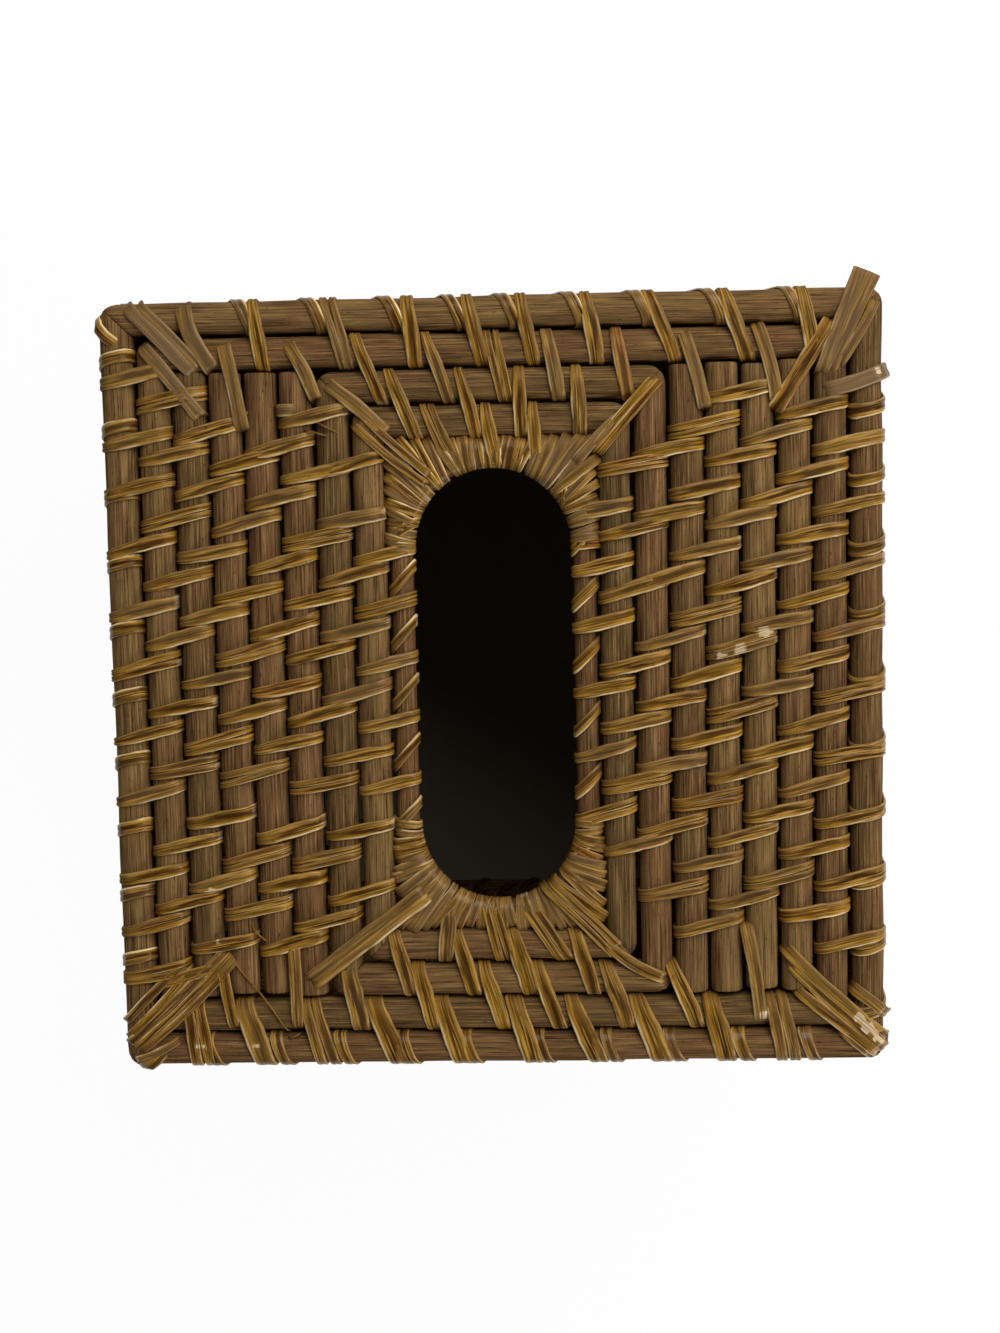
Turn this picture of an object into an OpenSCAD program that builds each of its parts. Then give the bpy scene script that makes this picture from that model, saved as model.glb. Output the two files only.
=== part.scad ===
// Square tissue box cover of round rattan rods, stitched together with split-rattan strips.
// The origin is at the middle of the base, +Z points up and +Y points to the back.
// The top is one flat layer of rods: two outer squares, straight rods at the left and at the
// right, a frame of two squares, and a rod bent round the opening. The walls are level courses.

/* [Rods] */
// Diameter of every rod but the one bent round the opening
rod_d = 5.8; // [4.5:0.1:7]
// Diameter of the rod bent round the opening
opening_rod_d = 4.2; // [3.6:0.1:5]
// Straight rods on each side of the opening
straights = 4; // [2:1:5]
// Level courses of rods in each wall, below the edge rods
wall_courses = 21; // [12:1:22]
// Radius of the rounded outer corners of each square of rods
corner_r = 4; // [3.5:0.1:4.5]
// Radius of the worn edge on the cut end of a straight rod
rod_end_r = 1.2; // [0.6:0.1:2]

/* [Opening] */
// Distance from the middle of the opening to the centre of the rod along its side
opening_side = 16.5; // [16:0.1:20]
// Distance from the middle of the opening to the centre of each round end
opening_bend = 25.3; // [21:0.1:29]

/* [Strips] */
// Width of a split-rattan strip
strip_w = 2.6; // [2:0.1:2.6]
// Thickness of a strip
strip_t = 0.5; // [0.4:0.05:0.7]
// Free space between a strip and the rod that it passes
clearance = 0.05; // [0.02:0.01:0.08]
// Least distance between the stitches along a rod of the left or the right side
column_step = 11; // [10.8:0.1:13]
// Least distance between the stitches along a rod of the back or the front
row_step = 12.1; // [10.8:0.1:13]
// Width of the strips wound round the ends of the opening
wrap_w = 1.4; // [1:0.1:1.5]
// Sideways lean of the strips at the corners of the top
corner_lean = 8.5; // [7:0.1:9]
// Sideways lean of the strips at the corners of the frame round the opening
frame_lean = 9; // [8:0.1:10]
// How much of each base stitch is pressed flat
foot_flat = 0.25; // [0.1:0.05:0.35]

/* [Hidden] */
$fn = 64;
overrun = 1;
rod_colour = [0.43, 0.35, 0.26];
strip_colour = [0.66, 0.50, 0.22];
quarter_turn = 90;
sides = ["right", "back", "left", "front"];
// A wall has one stitch for every two along the same rod of the top
wall_factor = 2;
// Every third course starts a strip round the upright corners
wall_corner_factor = 3;
// The stitches of a pair of rods lie over the middle between them
pair_middle_share = 0.5;
// Those of every other pair are moved by this share of their step
half_step_share = 0.5;
// The bent rod has this much more room at its round ends, where strips wind round it
bend_relief = 0.3;
// A run that falls short of one more half step by less than this share of it still gets it
step_share = 0.01;
// Corner strips end this far from the corner of the square that holds their inner end
corner_back = 6;
frame_back = 5.8;
// Turns at which strips are wound round an end of the opening
wrap_turn_first = 15;
wrap_turn_step = 6;
// Where they lie beside a stitch of a straight side, as shares of the stitch's lean
wrap_shares = [-1.45, 0.7];
// Turns of the two diagonal strips at an end of the opening, and the room that they take
diagonal_turns = [45, 135];
diagonal_room = 9;

straight_count = round(straights);
course_count = round(wall_courses);
rod_r = rod_d / 2;
end_r = min(rod_end_r, rod_r / 2);
loop_in = rod_r + clearance;
loop_out = loop_in + strip_t;
bent_r = opening_rod_d / 2;
bent_loop_in = bent_r + clearance;
bent_loop_out = bent_loop_in + strip_t;
// Neighbouring rods are this far apart, so that one strip passes between them
pitch = rod_d + strip_t + 2 * clearance;
bent_pitch = rod_r + bent_r + strip_t + 2 * clearance;
// A stitch leans by its own width, so its end lies beside the start of the next one
lean = strip_w + 2 * clearance;
// A stitch stays this far from the middle of a corner strip
corner_clear = strip_w + lean / 2 + 2 * clearance;

// Each square of rods reaches half[0] along X and half[1] along Y, measured to the rods' centres
opening_half = [opening_side, opening_side + opening_bend + bend_relief];
inner_half = [for (h = opening_half) h + bent_pitch];
outer_half = [for (h = inner_half) h + pitch];
second_half = [outer_half[0] + (straight_count + 1) * pitch, outer_half[1] + pitch];
edge_half = [for (h = second_half) h + pitch];
straight_half = second_half[1] - rod_r - clearance;

// Heights of the rods' centres. Course 0 is the edge rods.
base_z = loop_out - foot_flat;
top_z = base_z + course_count * pitch;
function course_z(k) = top_z - k * pitch;

function across(half, k) = half[k % 2];
function along(half, k) = half[(k + 1) % 2];
// The second square's half side is a whole number of half steps, none less than the one asked for
function even_step(run, step) = 2 * run / floor(2 * run / step + step_share);
function step_of(k) = even_step(along(second_half, k), k % 2 == 0 ? column_step : row_step);
function course_name(k) = str("wall_course_", k < 10 ? "0" : "", k);
function straight_name(k, n) = str("straight_rod_", sides[k], "_", n);

// Turns what is drawn for the right-hand side to side k of the list of sides
module at_side(k) {
    rotate([0, 0, k * quarter_turn]) children();
}

// Plan of the right-hand rod of a square: mitred at 45 degrees, with rounded outer corners. It
// stands clear of the rod's long side, so that only the ends are cut.
module mitre_plan(x, y) {
    wide = rod_r + overrun;
    corner_x = x + rod_r + clearance - corner_r;
    corner_y = y + rod_r + clearance - corner_r;
    intersection() {
        polygon([
            [x - wide, y - wide - clearance],
            [x + wide, y + wide - clearance],
            [x + wide, -y - wide + clearance],
            [x - wide, -y + wide + clearance]
        ]);
        union() {
            square([2 * (x + wide), 2 * corner_y], center = true);
            square([2 * corner_x, 2 * (y + wide)], center = true);
            for (end = [-1, 1])
                translate([corner_x, end * corner_y]) circle(corner_r);
        }
    }
}

module mitred_rod(x, y) {
    intersection() {
        translate([x, 0, 0])
            rotate([quarter_turn, 0, 0])
                cylinder(h = 2 * (y + rod_d), r = rod_r, center = true);
        translate([0, 0, -rod_d])
            linear_extrude(2 * rod_d) mitre_plan(x, y);
    }
}

// One rod of a square in the top
module ring_rod(half, k) {
    color(rod_colour)
        translate([0, 0, top_z])
            at_side(k) mitred_rod(across(half, k), along(half, k));
}

module edge_rod(k) {
    ring_rod(edge_half, k);
}

module second_rod(k) {
    ring_rod(second_half, k);
}

module outer_frame_rod(k) {
    ring_rod(outer_half, k);
}

module inner_frame_rod(k) {
    ring_rod(inner_half, k);
}

// Straight rod n of side k, counted from the second square inwards, with worn ends
module straight_rod(k, n) {
    color(rod_colour)
        at_side(k)
            translate([second_half[0] - n * pitch, 0, top_z])
                rotate([quarter_turn, 0, 0])
                    rotate_extrude() {
                        translate([0, -straight_half])
                            square([rod_r - end_r, 2 * straight_half]);
                        translate([0, end_r - straight_half])
                            square([rod_r, 2 * (straight_half - end_r)]);
                        for (end = [-1, 1])
                            translate([rod_r - end_r, end * (straight_half - end_r)])
                                circle(end_r);
                    }
}

// The rod bent round the opening
module opening_rod() {
    color(rod_colour)
        translate([0, 0, top_z]) {
            for (x = [-opening_side, opening_side])
                translate([x, 0, 0])
                    rotate([quarter_turn, 0, 0])
                        cylinder(h = 2 * opening_bend, r = bent_r, center = true);
            for (k = [0, 2])
                at_side(k)
                    translate([0, opening_bend, 0])
                        rotate_extrude(angle = 2 * quarter_turn)
                            translate([opening_side, 0]) circle(bent_r);
        }
}

// Course k of the walls: four rods, mitred like the edge rods above them
module wall_course(k) {
    color(rod_colour)
        translate([0, 0, course_z(k)])
            for (s = [0 : 3])
                at_side(s) mitred_rod(across(edge_half, s), along(edge_half, s));
}

// Outline round two rods side by side, with a strip drawn tight over both. The first one may be
// thinner than the second.
module pair_outline(apart, first_r, second_r) {
    slope = asin((second_r - first_r) / apart);
    first_touch = [-apart / 2 - first_r * sin(slope), first_r * cos(slope)];
    second_touch = [apart / 2 - second_r * sin(slope), second_r * cos(slope)];
    translate([-apart / 2, 0]) circle(first_r);
    translate([apart / 2, 0]) circle(second_r);
    polygon([
        first_touch,
        second_touch,
        [second_touch[0], -second_touch[1]],
        [first_touch[0], -first_touch[1]]
    ]);
}

// Plan of a strip that leans towards +Y between the crowns of two rods
module stitch_plan(apart, lean_by) {
    reach = apart / 2 + loop_out + overrun;
    edge_line = [
        [-reach, -lean_by / 2],
        [-apart / 2, -lean_by / 2],
        [apart / 2, lean_by / 2],
        [reach, lean_by / 2]
    ];
    polygon(concat(
        [for (p = edge_line) [p[0], p[1] - strip_w / 2]],
        [for (i = [3 : -1 : 0]) [edge_line[i][0], edge_line[i][1] + strip_w / 2]]
    ));
}

// A strip closed round two rods that lie along Y on both sides of the origin
module stitch(lean_by, apart = pitch, first_r = rod_r) {
    intersection() {
        rotate([quarter_turn, 0, 0])
            linear_extrude(abs(lean_by) + strip_w + 2 * overrun, center = true)
                difference() {
                    pair_outline(apart, first_r + clearance + strip_t, loop_out);
                    pair_outline(apart, first_r + clearance, loop_in);
                }
        linear_extrude(2 * (loop_out + overrun), center = true) stitch_plan(apart, lean_by);
    }
}

// Places of the stitches along a rod. Those of an even pair are moved by half a step.
function places(pair, step, limit) = [
    for (i = [-ceil(limit / step) : ceil(limit / step)])
        let (u = (i + (pair % 2 == 0 ? half_step_share : 0)) * step)
            if (abs(u) <= limit) u
];

// How far from the middle of side k the stitches of a pair of rods of the top may lie. Pairs are
// counted inwards from the edge, and the last one holds the bent rod.
function last_pair(k) = k % 2 == 0 ? straight_count + 3 : 3;
function top_limit(k, pair) =
    pair == last_pair(k) ? opening_bend - (strip_w + lean) / 2
    : pair == last_pair(k) - 1 ? along(inner_half, k) - frame_back - corner_clear
    : pair == last_pair(k) - 2 ? along(inner_half, k) - frame_back + frame_lean / 2 - corner_clear
    : pair < 2 ? along(second_half, k) - corner_back - corner_clear
    : straight_half - end_r - (strip_w + lean) / 2;

function pair_places(k, pair) = places(pair, step_of(k), top_limit(k, pair));

// Stitches of side k of the top. At the back and at the front the last pair has none, because
// the bent rod turns away there.
module top_stitches(k) {
    last = last_pair(k);
    color(strip_colour)
        at_side(k) {
            for (pair = [0 : last - 1], u = pair_places(k, pair))
                translate([across(edge_half, k) - (pair + pair_middle_share) * pitch, u, top_z])
                    stitch(lean);
            if (k % 2 == 0)
                for (u = pair_places(k, last))
                    translate([(inner_half[0] + opening_half[0]) / 2, u, top_z])
                        stitch(lean, bent_pitch, bent_r);
        }
}

// Stitches of side k that tie the given course to the one above
module wall_pair_stitches(k, course) {
    limit = along(edge_half, k) - rod_r - corner_clear;
    at_side(k)
        for (u = places(course, wall_factor * step_of(k), limit))
            translate([across(edge_half, k), u, course_z(course) + pitch / 2])
                rotate([0, quarter_turn, 0]) stitch(lean);
}

module wall_stitches(k) {
    color(strip_colour)
        for (course = [1 : course_count - 1]) wall_pair_stitches(k, course);
}

// Stitches of the lowest course, pressed flat where the cover stands on them
module base_stitches() {
    wide = 2 * (max(edge_half) + rod_d);
    color(strip_colour)
        intersection() {
            for (k = [0 : 3]) wall_pair_stitches(k, course_count);
            translate([-wide / 2, -wide / 2, 0]) cube([wide, wide, 2 * (pitch + rod_d)]);
        }
}

// A narrow strip closed round the bent rod, on its right-hand side
module wrap() {
    translate([opening_side, 0, 0])
        rotate([quarter_turn, 0, 0])
            difference() {
                cylinder(h = wrap_w, r = bent_loop_out, center = true);
                cylinder(h = wrap_w + 2 * overrun, r = bent_loop_in, center = true);
            }
}

// Narrow strips wound round the bent rod: side by side on its round ends, and two beside each
// stitch of its straight sides
module opening_wraps() {
    turns = [
        for (turn = [wrap_turn_first : wrap_turn_step : 2 * quarter_turn - wrap_turn_first])
            if (min([for (d = diagonal_turns) abs(turn - d)]) >= diagonal_room) turn
    ];
    stitches = pair_places(0, last_pair(0));
    color(strip_colour)
        for (k = [0, 2])
            translate([0, 0, top_z])
                at_side(k) {
                    for (turn = turns)
                        translate([0, opening_bend, 0])
                            rotate([0, 0, turn]) wrap();
                    for (u = stitches, share = wrap_shares)
                        translate([0, u + share * lean, 0]) wrap();
                }
}

// A flat strip closed round what lies between two distances along X and two heights
module flat_loop(x_in, x_out, low, high) {
    rotate([quarter_turn, 0, 0])
        linear_extrude(strip_w, center = true)
            difference() {
                translate([x_in - strip_t, low - strip_t])
                    square([x_out - x_in + 2 * strip_t, high - low + 2 * strip_t]);
                translate([x_in, low]) square([x_out - x_in, high - low]);
            }
}

// Two strips that lean towards each other's corner, on both sides of each mitre. The outer rod of
// the pair belongs to the first square and the inner rod to the second.
module corner_stitches(outer, inner, back, lean_by) {
    for (k = [0 : 3], end = [-1, 1])
        translate([0, 0, top_z])
            at_side(k)
                translate([
                    (across(outer, k) + across(inner, k)) / 2,
                    end * (along(inner, k) - back + lean_by / 2),
                    0
                ])
                    stitch(end * lean_by);
}

module top_corner_strips() {
    color(strip_colour) corner_stitches(edge_half, second_half, corner_back, corner_lean);
}

// Corner strips of the frame, and a diagonal strip from each corner to the bent rod
module opening_corner_strips() {
    // The far leg stands in the corner between the two frames
    far = (outer_half[0] - loop_in) * sqrt(2) - strip_w / 2 - strip_t;
    color(strip_colour) {
        corner_stitches(outer_half, inner_half, frame_back, frame_lean);
        for (k = [0, 2], turn = diagonal_turns)
            at_side(k)
                translate([0, opening_bend, top_z])
                    rotate([0, 0, turn])
                        flat_loop(opening_side - bent_loop_in, far, -loop_in, loop_in);
    }
}

// Strips round the upright corners, each round two courses
module wall_corner_strips() {
    // Distances along the diagonal from the point where the two middle lines of the corner's rods
    // cross, to the inner corner of the rods and to their rounded outer corner
    inside = loop_in * sqrt(2);
    outside = rod_r * sqrt(2) - corner_r * (sqrt(2) - 1) + 2 * clearance;
    color(strip_colour)
        for (x = [-1, 1], y = [-1, 1], course = [1 : wall_corner_factor : course_count - 1])
            translate([x * edge_half[0], y * edge_half[1], course_z(course)])
                rotate([0, 0, atan2(y, x)])
                    flat_loop(-inside, outside, -loop_in, pitch + loop_in);
}

for (k = [0 : 3]) {
    edge_rod(k);
    second_rod(k);
    outer_frame_rod(k);
    inner_frame_rod(k);
    top_stitches(k);
    wall_stitches(k);
}
for (k = [0, 2], n = [1 : straight_count])
    straight_rod(k, n);
for (k = [1 : course_count])
    wall_course(k);
opening_rod();
opening_wraps();
opening_corner_strips();
top_corner_strips();
wall_corner_strips();
base_stitches();
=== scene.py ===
import math
import bpy
import numpy as np
from mathutils import Euler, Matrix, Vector


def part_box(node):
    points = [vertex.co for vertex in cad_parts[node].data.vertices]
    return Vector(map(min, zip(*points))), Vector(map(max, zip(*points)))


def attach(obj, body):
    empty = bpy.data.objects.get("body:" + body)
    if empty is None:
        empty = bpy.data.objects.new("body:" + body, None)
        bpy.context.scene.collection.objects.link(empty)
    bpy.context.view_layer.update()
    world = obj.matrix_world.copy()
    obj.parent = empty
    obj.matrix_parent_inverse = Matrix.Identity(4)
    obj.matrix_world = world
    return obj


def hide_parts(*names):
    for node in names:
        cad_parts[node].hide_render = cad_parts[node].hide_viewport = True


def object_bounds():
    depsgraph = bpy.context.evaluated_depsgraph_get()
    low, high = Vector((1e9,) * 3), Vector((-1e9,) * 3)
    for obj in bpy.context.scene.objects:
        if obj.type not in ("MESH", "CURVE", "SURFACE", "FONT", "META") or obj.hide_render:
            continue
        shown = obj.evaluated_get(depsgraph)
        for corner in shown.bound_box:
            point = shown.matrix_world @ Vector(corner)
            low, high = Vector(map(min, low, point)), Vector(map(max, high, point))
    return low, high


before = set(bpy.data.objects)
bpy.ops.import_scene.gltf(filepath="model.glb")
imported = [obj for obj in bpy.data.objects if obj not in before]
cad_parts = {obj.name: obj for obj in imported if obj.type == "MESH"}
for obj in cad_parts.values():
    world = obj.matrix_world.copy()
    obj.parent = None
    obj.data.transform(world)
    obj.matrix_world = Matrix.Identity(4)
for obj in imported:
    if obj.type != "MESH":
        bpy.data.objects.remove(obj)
cad_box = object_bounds()

# Lengths here are millimetres, and this many metres each
MM = 0.001
# Tells one seeded choice from another
SEED = 41

# The photograph: its size, and its camera over the middle of the cover
PHOTO_WIDE = 1000
PHOTO_HIGH = 1333
FOCUS_PIXELS = 2043.4
SENSOR_MM = 36
CAMERA_AT = np.array([16.0, 40.8, 506.5])
CAMERA_TURN = Euler([math.radians(a) for a in (-5.84, 2.24, -1.18)])


def placed(name, data):
    """A new object in the scene."""
    made = bpy.data.objects.new(name, data)
    bpy.context.scene.collection.objects.link(made)
    return made


def add_camera():
    """Adds the camera, and returns its axes as the columns of a matrix."""
    made = placed("Camera", bpy.data.cameras.new("Camera"))
    made.location = CAMERA_AT * MM
    made.rotation_euler = CAMERA_TURN
    made.data.sensor_width = SENSOR_MM
    made.data.lens = SENSOR_MM * FOCUS_PIXELS / PHOTO_HIGH
    bpy.context.scene.camera = made
    return np.array(CAMERA_TURN.to_matrix())


view = add_camera()


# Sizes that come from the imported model
def middle(node):
    """The middle of a CAD node's box."""
    low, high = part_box(node)
    return np.array(low + high) / 2 / MM


def reach(node):
    """Half the size of a CAD node's box along each axis."""
    low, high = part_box(node)
    return np.array(high - low) / 2 / MM


RINGS = ("edge", "second", "outer_frame", "inner_frame")
SIDES = ("right", "back", "left", "front")
# Half the width and half the depth of each square of rods, to the rods' centres
HALF = {ring: (middle(f"{ring}_rod_right")[0], middle(f"{ring}_rod_back")[1]) for ring in RINGS}
ROD_R = reach("edge_rod_right")[2]
TOP_Z = middle("edge_rod_right")[2]
BENT_R = reach("opening_rod")[2]
BENT_X = reach("opening_rod")[0] - BENT_R
BENT_Y = reach("opening_rod")[1] - BENT_R - BENT_X
COURSES = [name for name in sorted(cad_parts) if name.startswith("wall_course")]
# Heights of the edge rods and of the courses under them
HEIGHTS = [TOP_Z] + [middle(name)[2] for name in COURSES]
STRAIGHTS = [n for n in range(1, 6) if f"straight_rod_left_{n}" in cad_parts]
CORNER_R = 4.0
# The bent rod's middle line: the length of one round end, and of the whole line
BEND = math.pi * BENT_X
LAP = 4 * BENT_Y + 2 * BEND
# Thickness of a strip and its distance from the rod below it
PEEL_T = 0.48
SLACK = 0.04
# Heights of the rods' crowns and of the strips that lie on them
CROWN_Z = TOP_Z + ROD_R
SKIN_Z = CROWN_Z + PEEL_T

# Centres of the rods that are crossed from the left edge to the opening, and from the back edge
LEFT_RODS = (
    [-HALF["edge"][0], -HALF["second"][0]]
    + [middle(f"straight_rod_left_{n}")[0] for n in STRAIGHTS]
    + [-HALF["outer_frame"][0], -HALF["inner_frame"][0], -BENT_X]
)
RIGHT_RODS = [-x for x in LEFT_RODS]
BACK_RODS = [HALF[ring][1] for ring in RINGS] + [BENT_Y + BENT_X]
FRONT_RODS = [-y for y in BACK_RODS]


# From the photograph's pixels to the model
def slope(pixel, axis):
    """How far aside a column (axis 0) or a row (axis 1) lies for each millimetre of depth."""
    return (pixel - PHOTO_WIDE / 2, PHOTO_HIGH / 2 - pixel)[axis] / FOCUS_PIXELS


def photo_point(column, row):
    """The point on the strips of the top that shows at a pixel of the photograph."""
    ray = view @ np.array([slope(column, 0), slope(row, 1), -1])
    return CAMERA_AT + ray * (SKIN_Z - CAMERA_AT[2]) / ray[2]


def photo_meets(pixel, axis, other):
    """Where a line along X (axis 0) or Y (axis 1) shows at a column or a row of the photograph."""
    start = np.array([other, other, SKIN_Z], float)
    start[axis] = 0
    seen = view.T @ (start - CAMERA_AT)
    share = slope(pixel, axis)
    return -(share * seen[2] + seen[axis]) / (view[axis, axis] + share * view[axis, 2])


# Meshes made of strands
# What a mesh holds at its points. Its two maps hold along and span, each with across.
VALUES = ("tone", "shade", "wear")


def seeded(name):
    """The random choices of one strand, the same in each run."""
    return np.random.default_rng([SEED] + list(name.encode()))


def drift(rng, places, wave, size):
    """Slow swings along a strand, about one in each wave of millimetres."""
    swing = np.zeros_like(places, dtype=float)
    for share in (1.0, 0.63, 0.41):
        swing += np.sin(math.tau * places / (wave * share) + rng.uniform(0, math.tau))
    return size * swing / 2


def strand(points, along, across, tone, shade, wear=0.0, span=0.0, closed=False):
    """Rings of points in millimetres. Along and across are the fibre's own two directions there,
    tone picks its colour, shade is a painted-shade mask, 0 deep in a seam and 1 in the open,
    and span runs from 0 to 1 over the part that shows."""
    rings, sides = points.shape[:2]
    grid = (rings + int(closed), sides + 1)
    return {
        "points": points,
        "along": np.broadcast_to(along, grid),
        "across": np.broadcast_to(across, grid),
        "span": np.broadcast_to(span, grid),
        "tone": tone,
        "shade": shade,
        "wear": wear,
        "closed": closed,
    }


def strand_faces(s, first):
    """A strand's faces, whether each is smooth, and along, span and across at their corners. Its
    points are numbered from first."""
    rings, sides = s["points"].shape[:2]
    i, j = np.indices((rings if s["closed"] else rings - 1, sides)).reshape(2, -1)
    corners = [(i, j), (i, j + 1), (i + 1, j + 1), (i + 1, j)]
    ids = np.stack([(a % rings) * sides + b % sides for a, b in corners], 1)
    flat = s["points"].reshape(-1, 3)
    a, b, c, d = np.moveaxis((flat - flat.mean(0))[ids], 1, 0)
    inside_out = (a * (np.cross(b - a, c - a) + np.cross(c - a, d - a))).sum() < 0
    order = [3, 2, 1, 0] if inside_out else [0, 1, 2, 3]
    faces = (ids[:, order] + first).tolist()
    smooth = [True] * len(faces)
    grid = np.stack([s["along"], s["span"], s["across"]], -1)
    at_corners = [np.stack([grid[corners[n]] for n in order], 1).reshape(-1, 3)]
    if not s["closed"]:
        for ring, turn in ((0, -1), (rings - 1, 1)):
            cap = np.arange(sides)[:: -turn if inside_out else turn]
            faces.append((cap + ring * sides + first).tolist())
            smooth.append(False)
            at_corners.append(grid[ring, cap])
    return faces, smooth, at_corners


def add_piece(node, strands, finish, proud=0):
    """Joins strands into one mesh, which stands for a CAD node and rides where it does. It may
    stand proud of the CAD box's sides by some millimetres. The finish is a material, a slot name
    that is not used, and the end of the piece's name."""
    material, slot, ending = finish
    points, faces, smooth, at_corners, first = [], [], [], [], 0
    values = {key: [] for key in VALUES}
    for s in strands:
        for kept, more in zip((faces, smooth, at_corners), strand_faces(s, first)):
            kept.extend(more)
        for key in VALUES:
            values[key].append(np.broadcast_to(s[key], s["points"].shape[:2]).ravel())
        points.append(s["points"].reshape(-1, 3))
        first += len(points[-1])
    mesh = bpy.data.meshes.new(node + ending)
    room = np.array(cad_box) + np.outer((-1, 1), (proud, proud, 0)) * MM
    inside = np.clip(np.concatenate(points) * MM, *room)
    mesh.from_pydata(inside.tolist(), [], faces)
    at_corners = np.concatenate(at_corners)
    for n, key in enumerate(("fibre", "span")):
        mesh.uv_layers.new(name=key).data.foreach_set("uv", at_corners[:, [n, 2]].ravel())
    for key, parts in values.items():
        store = mesh.attributes.new(key, "FLOAT", "POINT")
        store.data.foreach_set("value", np.concatenate(parts).astype(np.float32))
    mesh.polygons.foreach_set("use_smooth", smooth)
    mesh.materials.append(material)
    mesh.update()
    made = placed(node + ending, mesh)
    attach(made, "root")
    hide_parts(node)


def turned(points, k):
    """Turns what was laid out for the right-hand side to side k."""
    x, y, z = np.moveaxis(points, -1, 0)
    x, y = ((x, y), (-y, x), (-x, -y), (y, -x))[k]
    return np.stack([x, y, z], -1)


# Materials
def paint(code):
    """An sRGB hex colour as Blender's linear one."""
    parts = [int(code[n : n + 2], 16) / 255 for n in (1, 3, 5)]
    return [c / 12.92 if c <= 0.04045 else ((c + 0.055) / 1.055) ** 2.4 for c in parts] + [1]


def add_node(tree, kind, settings):
    """Adds a node. Settings are its own values, and for its inputs a value, a hex colour or the
    output that feeds it."""
    made = tree.nodes.new("ShaderNode" + kind)
    for key, value in settings.items():
        if isinstance(value, bpy.types.NodeSocket):
            tree.links.new(value, made.inputs[key])
        elif isinstance(key, str) and hasattr(made, key):
            setattr(made, key, value)
        else:
            made.inputs[key].default_value = paint(value) if isinstance(value, str) else value
    return made


def new_material(name):
    """A material without nodes, and its tree."""
    made = bpy.data.materials.new(name)
    made.use_nodes = True
    made.node_tree.nodes.clear()
    return made, made.node_tree


def fibre_noise(tree, length, width, detail, rough, shift=0.0):
    """Noise in streaks of that length and width in millimetres, along the fibre."""
    uv = add_node(tree, "UVMap", {"uv_map": "fibre"}).outputs["UV"]
    place = add_node(tree, "Mapping", {
        "Location": (shift, shift, shift), "Scale": (1 / length, 1 / width, 1), "Vector": uv,
    }).outputs["Vector"]
    noise = {"Scale": 1.0, "Detail": detail, "Roughness": rough, "Vector": place}
    return add_node(tree, "TexNoise", noise).outputs["Fac"]


def ramp(tree, source, stops):
    """A colour ramp. Stops are pairs of a place from 0 to 1 and a hex colour."""
    made = add_node(tree, "ValToRGB", {"Fac": source})
    band = made.color_ramp
    while len(band.elements) < len(stops):
        band.elements.new(0.5)
    for element, (at, code) in zip(band.elements, stops):
        element.position = at
        element.color = paint(code)
    return made.outputs["Color"]


def blended(tree, factor, first, second):
    """Mixes two colours, each a hex code or an output, by a number or an output."""
    return add_node(tree, "Mix", {"data_type": "RGBA", 0: factor, 6: first, 7: second}).outputs[2]


def stretched(tree, source, low, high, to_low=0.0, to_high=1.0):
    """Stretches the part of a value from low to high, and clamps it."""
    return add_node(tree, "MapRange", {
        "Value": source, "From Min": low, "From Max": high, "To Min": to_low, "To Max": to_high,
    }).outputs["Result"]


def combined(tree, how, first, second=0.0):
    """A sum on two values, each a number or an output."""
    return add_node(tree, "Math", {"operation": how, 0: first, 1: second}).outputs[0]


def times(tree, first, *others):
    """The product of values, each a number or an output."""
    for other in others:
        first = combined(tree, "MULTIPLY", first, other)
    return first


def tinted(tree, base, *layers):
    """Lays colours over a base. Each has a source, the value of it that shows none of the colour,
    the value that shows the most, and that most."""
    for code, source, none_at, most_at, most in layers:
        base = blended(tree, stretched(tree, source, none_at, most_at, 0.0, most), base, code)
    return base


def stored(tree, name):
    """A value that the mesh holds at each point."""
    return add_node(tree, "Attribute", {"attribute_name": name}).outputs["Fac"]


def surfaced(tree, colour, height, strength, depth, settings):
    """Ends a material with a surface of that colour, and a bump of that depth in millimetres."""
    bump = add_node(tree, "Bump", {"Strength": strength, "Distance": depth * MM, "Height": height})
    normal = bump.outputs["Normal"]
    own = {"Base Color": colour, "Normal": normal, "Coat Normal": normal}
    surface = add_node(tree, "BsdfPrincipled", {**own, **settings})
    add_node(tree, "OutputMaterial", {"Surface": surface.outputs["BSDF"]})


def rattan_core():
    """Round rattan core, cut by a die, smoked and left bare: a dry matt surface with open grain
    in lines about 0.3 mm wide, lighter where the fibres are worn, and painted dark red-brown as
    shade on its sides in the seams."""
    made, tree = new_material("round_rattan_core_smoked_bare")
    patches = fibre_noise(tree, 20, 3.2, 2.0, 0.5, 7.0)
    bands = fibre_noise(tree, 14, 1.3, 3.0, 0.6, 3.0)
    grain = fibre_noise(tree, 14, 0.30, 3.0, 0.68)
    pores = fibre_noise(tree, 1.3, 0.3, 1.0, 0.5, 11.0)
    mixed = combined(tree, "ADD", times(tree, stored(tree, "tone"), 0.8), patches)
    body = ramp(tree, stretched(tree, mixed, 0.35, 1.25),
                [(0.0, "#5E4C2C"), (0.35, "#6C5230"), (0.65, "#725032"), (1.0, "#7E623A")])
    body = tinted(
        tree, body,
        ("#45301A", bands, 0.46, 0.70, 0.65),
        ("#A07E4A", bands, 0.44, 0.28, 0.45),
        ("#301C0A", grain, 0.47, 0.35, 0.85),
        ("#AC8856", grain, 0.54, 0.68, 0.65),
        ("#20150A", pores, 0.66, 0.76, 0.7),
        # Painted shade: dark red-brown where the shade mask marks a seam.
        ("#50280C", stored(tree, "shade"), 1.0, 0.0, 0.6),
    )
    finish = {"Roughness": 0.8, "IOR": 1.5, "Specular IOR Level": 0.08}
    surfaced(tree, body, grain, 0.8, 0.2, finish)
    return made


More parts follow.
